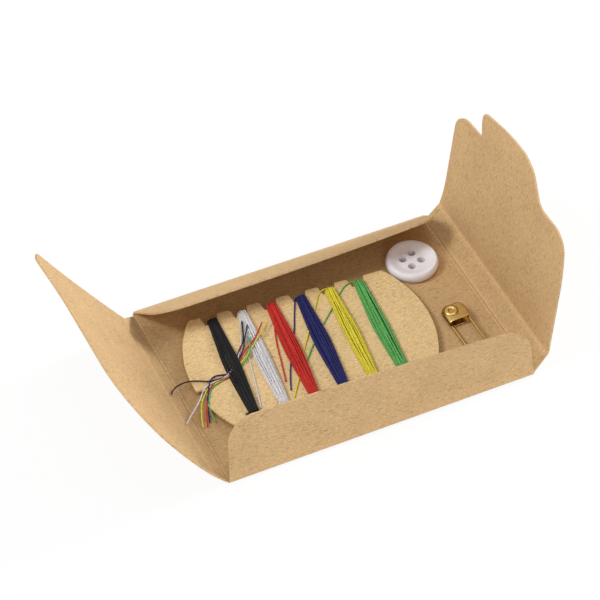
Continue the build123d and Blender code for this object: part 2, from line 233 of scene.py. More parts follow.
def slice_sheet(bm, normal, places):
    """Cuts the sheet into strips, so that it can be folded and bowed."""
    for place in places:
        everything = bm.verts[:] + bm.edges[:] + bm.faces[:]
        bmesh.ops.bisect_plane(bm, geom=everything, plane_co=Vector(normal) * place,
                               plane_no=normal, dist=same_place)


def steps_between(low, high, size):
    """Even steps of about a size between two places, without the two themselves."""
    count = max(1, round((high - low) / size))
    return [low + (high - low) * step / count for step in range(1, count)]


def fold_lines(angle):
    """Distances from a crease at which the sheet turns, a fraction of the fold at each."""
    width = fold_radius * abs(angle)
    return [width * ((step + 0.5) / fold_steps - 0.5) for step in range(fold_steps)]


def fold_sheet(bm, home, point, outward, angle_at):
    """Turns all that lies outward of a crease up towards the inner face, in a few small turns."""
    axis = outward.cross(Vector((0, 0, 1)))
    for line in reversed(fold_lines(angle_at(0))):
        hinge = point + outward * line
        for vertex in bm.verts:
            flat = home[vertex]
            if (flat - hinge).dot(outward) > same_place:
                turn = Matrix.Rotation(angle_at(flat.dot(axis)) / fold_steps, 3, axis)
                vertex.co = turn @ (vertex.co - hinge) + hinge


def finish_sheet(bm, name, home, creases):
    """Makes the folded sheet an object with its flat places, worn creases, painted crease shade and
    thickness.
    """
    flat_place = bm.verts.layers.float_vector["sheet"]
    wear = bm.verts.layers.float["wear"]
    crease_shade_mask = bm.verts.layers.float["crease_shade_mask"]
    for vertex in bm.verts:
        vertex[flat_place] = home[vertex]
        near = [abs((home[vertex] - point).dot(outward)) for point, outward in creases]
        vertex[wear] = max(0.0, 1.0 - min(near) / hinge_margin)
        vertex[crease_shade_mask] = max(0.0, 1.0 - near[0] / crease_shade_width)
    sheet = new_object(bm, name, kraft, kraft_edge)
    thickness = sheet.modifiers.new("board", "SOLIDIFY")
    thickness.thickness = board
    thickness.offset = -1
    thickness.use_even_offset = True
    thickness.material_offset_rim = 1
    soft_edge = sheet.modifiers.new("cut edge", "BEVEL")
    soft_edge.width = cut_edge_width
    soft_edge.segments = 2
    soft_edge.limit_method = "ANGLE"
    soft_edge.angle_limit = cut_edge_angle
    soft_edge.harden_normals = True
    return sheet


def flat_places(bm):
    """Where each point lies before the sheet is folded."""
    return {vertex: vertex.co.copy() for vertex in bm.verts}


# Base panel. The middle of the sheet, which lies flat on the table and carries everything else. It
# stops a little inside its four creases, where the strips of its neighbours begin.

inner_x = half_length - hinge_margin
inner_y = half_width - hinge_margin
base_strip = 0.006
base_corners = [(-inner_x, -inner_y), (inner_x, -inner_y), (inner_x, inner_y), (-inner_x, inner_y)]
bm = cut_sheet(base_corners, [0] * len(base_corners))
slice_sheet(bm, (1, 0, 0), steps_between(-inner_x, inner_x, base_strip))
slice_sheet(bm, (0, 1, 0), steps_between(-inner_y, inner_y, base_strip))
base_creases = [(Vector((0, -half_width, board)), Vector((0, -1, 0))),
                (Vector((0, half_width, board)), Vector((0, 1, 0))),
                (Vector((-half_length, 0, board)), Vector((-1, 0, 0))),
                (Vector((half_length, 0, board)), Vector((1, 0, 0)))]
base_sheet = finish_sheet(bm, "base_sheet", flat_places(bm), base_creases)
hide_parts("base_panel")
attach(base_sheet, "base")


# Front and back flaps. Each is the sheet's own edge, creased up from the base: the front flap
# stands nearly upright and the back flap leans far in over the tray. Neither stands quite true, so
# the fold opens or closes a little from one end to the other.

flap_height = 0.0142
flap_taper = 0.0018
flap_corner = 0.0055
front_fold_angle = radians(101.5)
front_twist = radians(7.0)
back_fold_angle = radians(138.5)
back_twist = radians(2.0)
flap_bow = 0.0005


def end_flap(name, node, body, side, fold_angle, twist):
    """The front flap (side -1) or back flap (side 1), with the strip of base beside its crease."""
    near = side * (half_width - hinge_margin)
    crease = side * half_width
    root = side * (half_width + side_inset)
    far = side * (half_width + flap_height)
    wide = half_length - side_inset
    narrow = wide - flap_taper
    outline = [(-half_length, near), (half_length, near), (half_length, crease), (wide, root),
               (narrow, far), (-narrow, far), (-wide, root), (-half_length, crease)]
    rounds = [0, 0, 0, 0, flap_corner, flap_corner, 0, 0]
    if side < 0:
        outline.reverse()
        rounds.reverse()
    bm = cut_sheet(outline, rounds)
    folds = [crease + side * line for line in fold_lines(fold_angle)]
    slice_sheet(bm, (0, 1, 0), folds)
    low, high = sorted((root + side * hinge_margin, far))
    slice_sheet(bm, (0, 1, 0), steps_between(low, high, strip_width))
    slice_sheet(bm, (1, 0, 0), steps_between(-half_length, half_length, strip_width))
    home = flat_places(bm)
    for vertex in bm.verts:
        reach = max(0.0, side * (home[vertex].y - crease)) / flap_height
        vertex.co.z += flap_bow * reach * reach * (1 - (home[vertex].x / half_length) ** 2)
    outward = Vector((0, side, 0))
    point = Vector((0, crease, board))
    axis_sign = outward.cross(Vector((0, 0, 1))).x
    fold_sheet(bm, home, point, outward, lambda s: fold_angle + twist * axis_sign * s / half_length)
    flap = finish_sheet(bm, name, home, [(point, outward)])
    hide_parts(node)
    start = point - outward * hinge_margin * 0.5
    up = outward * cos(fold_angle) + Vector((0, 0, 1)) * sin(fold_angle)
    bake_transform(flap, "base", body, start=start, end=point + up * hinge_margin * 0.5)


end_flap("front_flap_sheet", "front_flap", "front_flap", -1, front_fold_angle, -front_twist)
end_flap("back_flap_sheet", "back_flap", "back_flap", 1, back_fold_angle, -back_twist)


# Spines and covers. At each end the sheet goes on as a narrow spine and then a cover, folded twice.
# The left cover ends in a sharp back tip and bows a little; the right cover carries the locking
# tongue between two rounded shoulders. The left spine is cut slanting at its back end.

spine_depth = 0.0052
spine_cut = 0.0013
cover_cut = 0.001
cover_sheet_end = 0.038
cover_reach = 0.036
spine_blend = 0.6
left_spine_angle = radians(51)
left_cover_angle = radians(55.5)
left_cover_bow = radians(4)
left_back_inset = 0.0033
right_spine_angle = radians(50)
right_cover_angle = radians(83)
right_cover_bow = 0.0
right_back_inset = 0.0003


def folded_side(label, part, side, outline, rounds, spine_angle, cover_angle, bow):
    """One part of a side, the spine or the cover, cut out of the side's whole sheet and folded."""
    node = f"{label}_{part}"
    body = f"{label}_cover"
    spine_body = f"{label}_spine"
    bm = cut_sheet(outline, rounds)
    inner = side * half_length
    outer = side * (half_length + spine_depth)
    split = side * (half_length + spine_depth / 2)
    folds = [inner + side * line for line in fold_lines(spine_angle)]
    folds += [outer + side * line for line in fold_lines(cover_angle - spine_angle)]
    slice_sheet(bm, (1, 0, 0), folds)
    cover_start = outer + side * cover_cut
    cover_end = outer + side * cover_sheet_end
    slice_sheet(bm, (1, 0, 0), [inner + side * spine_cut, outer - side * spine_cut, cover_start])
    slice_sheet(bm, (1, 0, 0), steps_between(*sorted((cover_start, cover_end)), strip_width))
    slice_sheet(bm, (0, 1, 0), steps_between(-half_width, half_width, strip_width))
    everything = bm.verts[:] + bm.edges[:] + bm.faces[:]
    keep_out = 1 if part == "spine" else -1
    bmesh.ops.bisect_plane(bm, geom=everything, plane_co=(split, 0, board),
                           plane_no=(side * keep_out, 0, 0), clear_outer=True, dist=same_place)
    home = flat_places(bm)
    outward = Vector((side, 0, 0))
    outer_point = Vector((outer, 0, board))
    inner_point = Vector((inner, 0, board))
    for vertex in bm.verts:
        beyond = max(0.0, side * (home[vertex].x - outer))
        vertex.co.z += bow / cover_reach * beyond * beyond / 2
    fold_sheet(bm, home, outer_point, outward, lambda s: cover_angle - spine_angle)
    fold_sheet(bm, home, inner_point, outward, lambda s: spine_angle)
    creases = [(inner_point, outward), (outer_point, outward)]
    sheet = finish_sheet(bm, f"{node}_sheet", home, creases)
    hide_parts(node)
    up = Vector((0, 0, 1))
    along_spine = outward * cos(spine_angle) + up * sin(spine_angle)
    along_cover = outward * cos(cover_angle) + up * sin(cover_angle)
    reach = hinge_margin * spine_blend
    if part == "spine":
        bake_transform(sheet, "base", spine_body, start=inner_point - outward * reach,
                 end=inner_point + along_spine * reach)
    else:
        corner = inner_point + along_spine * spine_depth
        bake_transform(sheet, spine_body, body, start=corner - along_spine * reach * 1.6,
                 end=corner + along_cover * reach * 1.6)


side_half = half_width - side_inset
inner_edge = half_length - hinge_margin
cover_root = half_length + spine_depth
# Both outlines run anticlockwise on the flat sheet, from the strip at the base's crease over the
# spine to the cover's free edge and back. The left one starts at the back, the right one in front.
left_outline = [
    (-inner_edge, inner_y), (-half_length, inner_y), (-half_length, side_half),
    (-cover_root, side_half - left_back_inset),
    (-cover_root - 0.0336, 0.0223),
    (-cover_root - 0.0358, 0.0190),
    (-cover_root - 0.0322, 0.0100),
    (-cover_root - 0.0298, -0.0150),
    (-cover_root - 0.0200, -0.0236),
    (-cover_root - 0.0070, -side_half),
    (-half_length, -side_half), (-half_length, -inner_y), (-inner_edge, -inner_y),
]
left_rounds = [0, 0, 0, 0, 0.0008, 0.0012, 0.004, 0.005, 0.006, 0.004, 0, 0, 0]
for part in ("spine", "cover"):
    folded_side("left", part, -1, left_outline, left_rounds, left_spine_angle, left_cover_angle,
                left_cover_bow)

right_outline = [
    (inner_edge, -inner_y), (half_length, -inner_y), (half_length, -side_half),
    (cover_root + 0.0212, -0.0237),
    (cover_root + 0.0298, -0.0215),
    (cover_root + 0.0297, -0.0108),
    (cover_root + 0.0327, -0.0084),
    (cover_root + 0.0371, -0.0048),
    (cover_root + 0.0370, 0.0046),
    (cover_root + 0.0346, 0.0158),
    (cover_root + 0.0318, 0.0156),
    (cover_root + 0.0284, 0.0146),
    (cover_root + 0.0277, 0.0222),
    (cover_root + 0.0250, 0.0254),
    (cover_root + 0.0200, 0.0253),
    (cover_root + 0.0050, 0.0247),
    (cover_root, side_half - right_back_inset),
    (half_length, side_half), (half_length, inner_y), (inner_edge, inner_y),
]
right_rounds = [0, 0, 0, 0.004, 0.004, 0.0015, 0.002, 0.004, 0.004, 0.0016, 0.0004, 0.0002, 0.0018,
                0.0018, 0.002, 0.003, 0, 0, 0, 0]
for part in ("spine", "cover"):
    folded_side("right", part, 1, right_outline, right_rounds, right_spine_angle, right_cover_angle,
                right_cover_bow)


# Thread card. A stiff kraft disc cut straight at front and back, with rounded notches that hold the
# windings. It is loose: it lies on the thread that is wound under it, turned a little on the base.

mm = 0.001
card_low, card_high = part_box("thread_card")
card_middle = (card_low + card_high) / 2
card_turn = radians(-5)
card_colour = (0.78, 0.565, 0.285)
card_grain = 1.05
card_edge = 0.05 * mm
eased_edge_steps = 3
flat_joint_angle = radians(0.5)


def merged_copy(node, name, material, body, edge=0, sharp_angle=32, join_flat=False):
    """A piece with the node's own shape, with merged points, eased edges and smooth faces."""
    source = bmesh.new()
    source.from_mesh(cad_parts[node].data)
    bmesh.ops.remove_doubles(source, verts=source.verts[:], dist=same_place)
    if join_flat:
        bmesh.ops.dissolve_limit(source, angle_limit=flat_joint_angle, verts=source.verts[:],
                                 edges=source.edges[:])
    source.verts.index_update()
    mesh = bpy.data.meshes.new(name)
    faces = [[vertex.index for vertex in face.verts] for face in source.faces]
    mesh.from_pydata([vertex.co for vertex in source.verts], [], faces)
    source.free()
    flat_place = mesh.attributes.new("sheet", "FLOAT_VECTOR", "POINT")
    for vertex, place in zip(mesh.vertices, flat_place.data):
        place.vector = vertex.co
    mesh.materials.append(material)
    mesh.shade_smooth()
    mesh.set_sharp_from_angle(angle=radians(sharp_angle))
    piece = bpy.data.objects.new(name, mesh)
    bpy.context.collection.objects.link(piece)
    if edge:
        bevel = piece.modifiers.new("eased edge", "BEVEL")
        bevel.width = edge
        bevel.segments = eased_edge_steps
        bevel.limit_method = "ANGLE"
        bevel.angle_limit = radians(sharp_angle)
        bevel.harden_normals = True
    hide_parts(node)
    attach(piece, body)


card_kraft = kraft_material("thread card kraft", card_colour, grain=card_grain)
merged_copy("thread_card", "thread_card_sheet", card_kraft, "thread_card",
            edge=card_edge, join_flat=True)


# Windings. Each colour is one long thread of three twisted plies, wound in four layers round the
# card in a pair of notches: pressed together in the notches, spread and crossing a little between
# them, and hairy.

thread_radius = 0.16 * mm
ply_count = 3
ply_pitch = 0.55 * mm
thread_sides = 8
hair_radius = 0.011 * mm
hair_sides = 3
notch_pitch = 6.86 * mm
first_notch = -18.1 * mm
winding_shift = 0.25 * mm
winding_straight = 13.15 * mm
# Each layer: its height over the card's middle, its half widths in the notches and between them,
# and its number of turns.
winding_layers = [(0.43 * mm, 1.05 * mm, 1.66 * mm, 10), (0.70 * mm, 1.02 * mm, 1.64 * mm, 8),
                  (0.97 * mm, 0.92 * mm, 1.50 * mm, 7), (1.20 * mm, 0.68 * mm, 1.12 * mm, 5)]
crossing_from = 1.1 * mm
crossing_every = 3
crossing_swap = -0.5
notch_scatter = 0.06 * mm
middle_scatter = 0.24 * mm
height_scatter = 0.07 * mm
winding_steps = 5
winding_seed = 40
hairs_per_winding = 190
hairs_above = 0.8 * mm
hair_lengths = (0.35, 1.1)
hair_lift = Vector((0, 0, 0.8))
hair_root_depth = 0.7
hair_rise = 0.4
hair_first_drift = 0.2
hair_last_drift = 0.6
hair_tip = 0.4
hair_steps = 3
thread_bump = 0.6
thread_relief = 0.03 * mm
ply_range = (-1.0, 0.4)
ply_brightness = (0.62, 1.0)
noise_range = (0.3, 0.7)
thread_tone = (0.72, 1.26)
# Painted shade in the gaps between strands: the openness range over which it fades out, and how dark it is
# painted on each colour.
painted_shade_range = (0.2, 0.82)
painted_gap_shade = {"black": 0.5, "white": 0.58, "red": 0.34, "blue": 0.34, "yellow": 0.50,
                  "green": 0.28}
thread_colours = {
    "black": (0.010, 0.009, 0.012),
    "white": (0.95, 0.93, 0.95),
    "red": (0.80, 0.040, 0.028),
    "blue": (0.022, 0.024, 0.170),
    "yellow": (1.0, 0.86, 0.065),
    "green": (0.160, 0.58, 0.150),
}


def thread_material(colour, rgb):
    """Spun thread: twisted plies, uneven tone, and painted shade down in the gaps beside each strand."""
    material, shader, add = new_material(f"{colour} thread")
    place = add("ShaderNodeUVMap", uv_map="thread").outputs["UV"]
    parts = add("ShaderNodeSeparateXYZ", {"Vector": place})
    around = calculate(add, "MULTIPLY", parts.outputs["X"], 2 * pi * ply_count)
    along = calculate(add, "MULTIPLY_ADD", parts.outputs["Y"], 2 * pi / (ply_pitch / mm), around)
    wave = calculate(add, "SINE", along)
    ply = remap(add, wave, *ply_range, *ply_brightness)
    body = add("ShaderNodeTexCoord").outputs["Object"]
    uneven = noise(add, body, 2600.0, 4.0, Roughness=0.7)
    tone = remap(add, uneven, *noise_range, *thread_tone)
    # Painted shade: the sides of each strand that face its neighbours are painted darker.
    shade_openness = add("ShaderNodeAttribute", attribute_name="painted shade openness").outputs["Fac"]
    gap_shade = remap(add, shade_openness, *painted_shade_range, painted_gap_shade[colour], 1.0)
    level = calculate(add, "MULTIPLY", calculate(add, "MULTIPLY", ply, tone), gap_shade)
    join(material, tint(add, rgb, level), shader.inputs["Base Color"])
    height = calculate(add, "ADD", wave, uneven)
    join(material, bump(add, height, thread_bump, thread_relief), shader.inputs["Normal"])
    shader.inputs["Roughness"].default_value = 0.68
    shader.inputs["Specular IOR Level"].default_value = 0.25
    shader.inputs["Sheen Weight"].default_value = 0.06
    shader.inputs["Sheen Roughness"].default_value = 0.5
    return material


thread_materials = {colour: thread_material(colour, rgb) for colour, rgb in thread_colours.items()}


def smooth_line(points, steps):
    """The points of a smooth line that is drawn towards the given points."""
    curve = bpy.data.curves.new("line", "CURVE")
    curve.dimensions = "3D"
    curve.resolution_u = steps
    spline = curve.splines.new("NURBS")
    spline.points.add(len(points) - 1)
    for control, point in zip(spline.points, points):
        control.co = (point[0], point[1], point[2], 1)
    spline.order_u = 3
    spline.use_endpoint_u = True
    spline.resolution_u = steps
    carrier = bpy.data.objects.new("line", curve)
    mesh = bpy.data.meshes.new_from_object(carrier)
    line = [vertex.co.copy() for vertex in mesh.vertices]
    bpy.data.objects.remove(carrier)
    bpy.data.curves.remove(curve)
    bpy.data.meshes.remove(mesh)
    return line


def add_tube(bm, line, radius, sides, thin_end=1.0):
    """A round tube along a line, with its way round and its way along kept in a UV map."""
    uv = bm.loops.layers.uv["thread"]
    shade_openness = bm.verts.layers.float["painted shade openness"]
    side = (line[1] - line[0]).orthogonal().normalized()
    rings = []
    lengths = []
    length = 0.0
    for index, point in enumerate(line):
        before = line[max(index - 1, 0)]
        after = line[min(index + 1, len(line) - 1)]
        ahead = (after - before).normalized()
        side = (side - ahead * side.dot(ahead)).normalized()
        other = ahead.cross(side)
        length += (point - before).length
        size = radius * (1 + (thin_end - 1) * index / (len(line) - 1))
        ring = []
        for step in range(sides):
            turn = 2 * pi * step / sides
            away = side * cos(turn) + other * sin(turn)
            vertex = bm.verts.new(point + away * size)
            # How open each point of a strand is: sides facing the neighbouring strands get the painted gap
            # shade, while points under the card and upright stretches get none.
            vertex[shade_openness] = max(abs(away.z) if point.z > card_low.z else 1.0, abs(ahead.z))
            ring.append(vertex)
        rings.append(ring)
        lengths.append(length / mm)
    for index in range(len(rings) - 1):
        low, high = rings[index], rings[index + 1]
        for step in range(sides):
            nearby = (step + 1) % sides
            face = bm.faces.new((low[step], low[nearby], high[nearby], high[step]))
            places = ((step, lengths[index]), (step + 1, lengths[index]),
                      (step + 1, lengths[index + 1]), (step, lengths[index + 1]))
            for loop, (turn, along) in zip(face.loops, places):
                loop[uv].uv = (turn / sides, along)
    bm.faces.new(list(reversed(rings[0])))
    bm.faces.new(rings[-1])


def add_hairs(bm, line, count, chance):
    """Fine loose fibres that stand off a thread, most of them upwards, and curl."""
    for _ in range(count):
        root = line[chance.randrange(2, len(line) - 2)]
        lift = Vector((chance.uniform(-1, 1), chance.uniform(-1, 1), chance.uniform(-1, 1)))
        lift = (lift + hair_lift).normalized()
        drift = Vector((chance.uniform(-1, 1), chance.uniform(-1, 1), chance.uniform(-0.4, 0.6)))
        drift = drift.normalized()
        size = chance.uniform(*hair_lengths) * mm
        start = root + lift * thread_radius * hair_root_depth
        middle = start + lift * size * hair_rise + drift * size * hair_first_drift
        finish = middle + drift * size * hair_last_drift
        hair = smooth_line([start, middle, finish], hair_steps)
        add_tube(bm, hair, hair_radius, hair_sides, thin_end=hair_tip)


def new_thread_mesh():
    """An empty mesh with the layers that every thread carries."""
    bm = bmesh.new()
    bm.loops.layers.uv.new("thread")
    bm.verts.layers.float.new("painted shade openness")
    return bm


def thread_piece(bm, name, colour, node_names):
    """Makes the finished threads one piece that goes with the thread card."""
    piece = new_object(bm, name, thread_materials[colour])
    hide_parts(*node_names)
    return piece


def on_card(x, y, z):
    """A point in the card's own frame, whose middle is the middle of the card's thickness."""
    return card_middle + Matrix.Rotation(card_turn, 3, "Z") @ Vector((x, y, z))


def one_turn(centre, height, front, middle, back, under):
    """Once round the card: over its face to the back notch, and under it to the front again."""
    end = winding_straight
    over = [(front, -end, height), ((front + middle) / 2, -end / 2, height), (middle, 0, height),
            ((middle + back) / 2, end / 2, height), (back, end, height)]
    round_back = [(back, end + height, height), (back, end + height, -height)]
    below = [(back, end, -height), (under, 0, -height), (front, -end, -height)]
    round_front = [(front, -end - height, -height), (front, -end - height, height)]
    return [on_card(centre + x, y, z) for x, y, z in over + round_back + below + round_front]


def winding_line(centre, chance):
    """All the turns of one winding, layer on layer, from side to side and back."""
    points = []
    direction = 1
    for height, end_width, middle_width, turns in winding_layers:
        for turn in range(turns):
            across = direction * (2 * turn / (turns - 1) - 1)
            crosses = height > crossing_from and turn % crossing_every == 1
            swap = crossing_swap if crosses else 1
            front = across * end_width + chance.uniform(-1, 1) * notch_scatter
            back = swap * across * end_width + chance.uniform(-1, 1) * notch_scatter
            middle = (across + swap * across) / 2 * middle_width
            middle += chance.uniform(-1, 1) * middle_scatter
            lift = height + chance.uniform(-0.6, 1) * height_scatter
            points += one_turn(centre, lift, front, middle, back, across * middle_width)
        direction = -direction
    return smooth_line(points, winding_steps)


for number, colour in enumerate(thread_colours):
    chance = random.Random(winding_seed + number)
    centre = first_notch + winding_shift + number * notch_pitch
    line = winding_line(centre, chance)
    upper = [point for point in line if point.z > card_middle.z + hairs_above]
    bm = new_thread_mesh()
    add_tube(bm, line, thread_radius, thread_sides)
    add_hairs(bm, upper, hairs_per_winding, chance)
    winding = thread_piece(bm, f"{colour}_winding", colour,
                           [f"{colour}_winding_bulk", f"{colour}_winding_turns"])
    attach(winding, "thread_card")


# Tails. The end of each winding's thread leaves its back notch and slants over the card to the
# front left, under the windings that it passes. The black thread has no tail in sight.

tail_routes = {
    "white": [(-13.2, 3.0, 0.45), (-13.8, 1.3, 0.43), (-14.8, -5.5, 0.43), (-15.4, -9.4, 0.43),
              (-16.1, -13.4, 0.43)],
    "red": [(-4.9, 10.4, 0.5), (-5.5, 8.0, 0.43), (-6.4, 4.6, 0.43), (-7.0, 1.6, 0.43),
            (-7.7, -3.0, 0.43), (-8.6, -8.2, 0.43)],
    "blue": [(3.0, 13.8, 0.6), (1.8, 14.6, 0.5), (0.9, 12.7, 0.43), (-0.5, 9.0, 0.43),
             (-2.0, 4.8, 0.43), (-4.0, 0.8, 0.43), (-5.6, -3.0, 0.43), (-7.2, -6.8, 0.43),
             (-8.4, -10.9, 0.43)],
    "yellow": [(9.8, 14.2, 0.8), (8.6, 14.6, 0.6), (7.6, 14.3, 0.43), (6.4, 13.2, 0.43),
               (5.6, 11.5, 0.43), (3.4, 7.8, 0.43), (1.4, 4.5, 0.43), (-1.6, -0.4, 0.43),
               (-3.6, -4.0, 0.43), (-5.5, -8.0, 0.43), (-7.2, -10.8, 0.43), (-8.5, -13.1, 0.43)],
    "green": [(16.6, 14.0, 0.8), (15.5, 14.6, 0.6), (14.4, 14.6, 0.43), (12.8, 13.8, 0.43),
              (11.3, 12.2, 0.43), (8.2, 8.6, 0.43), (5.6, 5.8, 0.43), (1.9, 1.6, 0.43),
              (-1.7, -3.1, 0.43), (-5.6, -8.9, 0.43)],
}
tail_hairs = 26
tail_steps = 12
tail_seed = 70

for number, (colour, route) in enumerate(tail_routes.items()):
    chance = random.Random(tail_seed + number)
    line = smooth_line([on_card(x * mm, y * mm, z * mm) for x, y, z in route], tail_steps)
    bm = new_thread_mesh()
    add_tube(bm, line, thread_radius, thread_sides)
    add_hairs(bm, line, tail_hairs, chance)
    tail = thread_piece(bm, f"{colour}_tail", colour, [f"{colour}_crossing_thread"])
    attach(tail, "thread_card")


# Bunch of loose ends. One end of every colour is gathered into a bunch and tucked under the black
# winding. On its left the threads fan out over the card's edge, and on its right their tips spray
# up and over.

left_ends = {
    "black": [(-20.4, 3.2, 2.2), (-22.6, 1.2, 2.3), (-24.6, -0.4, 2.3), (-26.8, -0.9, 2.5),
              (-29.5, -0.5, 2.5), (-32.0, 1.0, 2.5), (-34.2, 1.4, 2.5), (-36.0, 1.0, 2.6),
              (-37.3, -0.1, 3.2), (-38.0, -1.2, 3.8), (-38.4, -2.0, 4.3)],
    "white": [(-20.6, 2.9, 2.4), (-22.8, 1.0, 2.5), (-24.8, -0.7, 2.45), (-27.2, -0.9, 2.3),
              (-29.4, -1.2, 2.3), (-31.0, -1.8, 2.3), (-33.3, -4.9, 2.4), (-36.2, -7.6, 2.6),
              (-38.0, -9.8, 3.7), (-39.0, -11.3, 4.7)],
    "red": [(-20.9, 2.6, 2.2), (-22.6, 0.8, 2.3), (-24.4, -1.0, 2.25), (-26.2, -1.2, 2.3),
            (-28.2, -1.2, 2.25), (-30.0, -2.4, 2.25), (-31.6, -5.2, 2.1), (-33.3, -8.9, 1.3),
            (-34.0, -10.8, 0.7)],
    "blue": [(-20.6, 3.6, 2.2), (-22.6, 1.7, 2.25), (-24.6, -0.2, 2.2), (-26.0, 0.2, 2.3),
             (-27.4, 0.5, 2.35), (-28.7, -0.1, 2.35), (-30.0, -2.1, 2.4), (-31.2, -4.4, 2.3),
             (-32.2, -6.9, 1.6), (-33.1, -9.8, 0.7)],
    "yellow": [(-20.8, 2.4, 2.2), (-22.8, 0.6, 2.2), (-24.9, -0.9, 2.2), (-27.4, -1.3, 2.2),
               (-30.0, -1.9, 2.2), (-31.9, -3.8, 2.2), (-33.2, -5.6, 2.0), (-33.9, -7.3, 1.6),
               (-34.6, -8.9, 1.0), (-34.9, -10.6, 0.65)],
    "green": [(-20.4, 2.2, 2.2), (-22.4, 0.5, 2.2), (-24.6, -1.0, 2.2), (-27.0, -1.4, 2.2),
              (-29.4, -2.2, 2.15), (-31.0, -4.6, 2.15), (-31.9, -6.9, 1.9), (-32.2, -8.6, 1.4),
              (-31.8, -10.4, 0.7)],
}
right_ends = {
    "white": [(-21.2, 2.6, 2.2), (-20.3, 3.8, 2.6), (-18.9, 5.6, 2.7), (-17.5, 9.3, 2.6),
              (-16.6, 11.4, 2.7), (-15.7, 13.4, 2.8)],
    "black": [(-21.3, 3.1, 2.2), (-20.0, 4.5, 2.9), (-17.8, 6.7, 3.0), (-16.8, 9.5, 3.1),
              (-15.9, 12.0, 3.2)],
    "blue": [(-21.4, 2.2, 2.2), (-20.2, 3.0, 2.8), (-18.6, 4.9, 3.1), (-17.2, 7.5, 3.3),
             (-15.4, 10.2, 3.5)],
    "red": [(-21.0, 2.0, 2.2), (-20.1, 3.0, 2.6), (-18.3, 4.3, 3.0), (-15.9, 5.6, 3.5),
            (-14.1, 7.4, 3.5), (-12.1, 9.8, 3.2)],
    "yellow": [(-21.4, 1.2, 2.2), (-20.4, 1.8, 2.4), (-17.6, 3.4, 3.0), (-14.0, 6.8, 3.5),
               (-10.9, 9.4, 3.0)],
    "green": [(-21.2, 0.8, 2.2), (-20.2, 1.2, 2.5), (-18.2, 2.6, 3.0), (-16.9, 5.4, 3.3),
              (-16.6, 7.3, 3.4)],
}
loose_end_hairs = 34
ends_on_spine = ("black", "white")

for colour in thread_colours:
    for side, routes in (("left", left_ends), ("right", right_ends)):
        chance = random.Random(f"{side} {colour}")
        bm = new_thread_mesh()
        line = smooth_line([Vector(point) * mm for point in routes[colour]], tail_steps)
        add_tube(bm, line, thread_radius, thread_sides)
        add_hairs(bm, line, loose_end_hairs, chance)
        loose = thread_piece(bm, f"{colour}_{side}_end", colour, [f"{colour}_thread_ends"])
        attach(loose, "thread_card")
        if side == "left" and colour in ends_on_spine:
            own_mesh(loose)


# Button. A moulded shirt button of pale milky plastic with four holes, a broad rim and a shallow
# dish, polished smooth and loose in the tray's back right corner.

button_colour = (0.87, 0.86, 0.93)
button_edge = 0.16 * mm
button_tone = (0.95, 1.05)
button_gloss = (0.16, 0.30)
whole_range = (0.0, 1.0)

button_material, shader, add = new_material("button plastic")
body = add("ShaderNodeTexCoord").outputs["Object"]
swirl = noise(add, body, 260.0, 3.0, Distortion=1.2)
tinted = tint(add, button_colour, remap(add, swirl, *noise_range, *button_tone))
join(button_material, tinted, shader.inputs["Base Color"])
polish = noise(add, body, 4000.0, 2.0)
gloss = remap(add, polish, *whole_range, *button_gloss)
join(button_material, gloss, shader.inputs["Roughness"])
shader.inputs["Specular IOR Level"].default_value = 0.5
merged_copy("button", "four_hole_button", button_material, "button",
            edge=button_edge, sharp_angle=25)


# Safety pin. Bright brass-coloured wire, coiled once at one end, with one leg gripped in a cap of
# folded sheet that is rounded at its head and curled round an eyelet over the gripped leg.

brass_colour = (0.54, 0.35, 0.12)
pin_yaw = radians(1.5)
cap_low, cap_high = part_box("pin_cap")
cap_sheet = 0.22 * mm
cap_half_width = 2.65 * mm
cap_length = 5.6 * mm
cap_head_start = 2.6 * mm
cap_side_power = 2.4
cap_top_power = 3.2
cap_least_width = 0.12
cap_least_height = 0.18
cap_rows = 14
cap_row_power = 1.6
cap_steps = 26
wire_sharp_angle = 50
brass_tone = (0.86, 1.08)
brass_gloss = (0.20, 0.38)
brass_bump = 0.12
brass_relief = 0.01 * mm

brass, shader, add = new_material("pin brass")
body = add("ShaderNodeTexCoord").outputs["Object"]
stain = noise(add, body, 900.0, 3.0)
tinted = tint(add, brass_colour, remap(add, stain, *noise_range, *brass_tone))
join(brass, tinted, shader.inputs["Base Color"])
drawn = noise(add, body, 5200.0, 2.0)
join(brass, remap(add, drawn, *whole_range, *brass_gloss), shader.inputs["Roughness"])
join(brass, bump(add, drawn, brass_bump, brass_relief), shader.inputs["Normal"])
shader.inputs["Metallic"].default_value = 1.0

merged_copy("pin_spring_wire", "pin_spring_leg", brass, "safety_pin",
            sharp_angle=wire_sharp_angle)
merged_copy("pin_point_arm", "pin_pointed_arm", brass, "pin_arm",
            sharp_angle=wire_sharp_angle)


def cap_section(y):
    """The folded sheet's line across the cap, from its lower free edge round to its upper one."""
    into_head = max(0.0, (y - cap_head_start) / (cap_length - cap_head_start))
    narrow = (1 - into_head ** cap_side_power) ** 0.5
    half = cap_half_width * max(narrow, cap_least_width)
    flatten = (1 - into_head ** cap_top_power) ** 0.5
    low = cap_sheet / 2
    high = low + (cap_high.z - cap_low.z - cap_sheet) * max(flatten, cap_least_height)
    fold = (high - low) / 2
    flat = 2 * half - fold
    line = []
    for step in range(cap_steps + 1):
        along = (2 * flat + pi * fold) * step / cap_steps
        if along < flat:
            line.append((half - along, y, low))
        elif along < flat + pi * fold:
            turn = (along - flat) / fold
            line.append((fold - half - fold * sin(turn), y, low + fold - fold * cos(turn)))
        else:
            line.append((fold - half + along - flat - pi * fold, y, high))
    return line


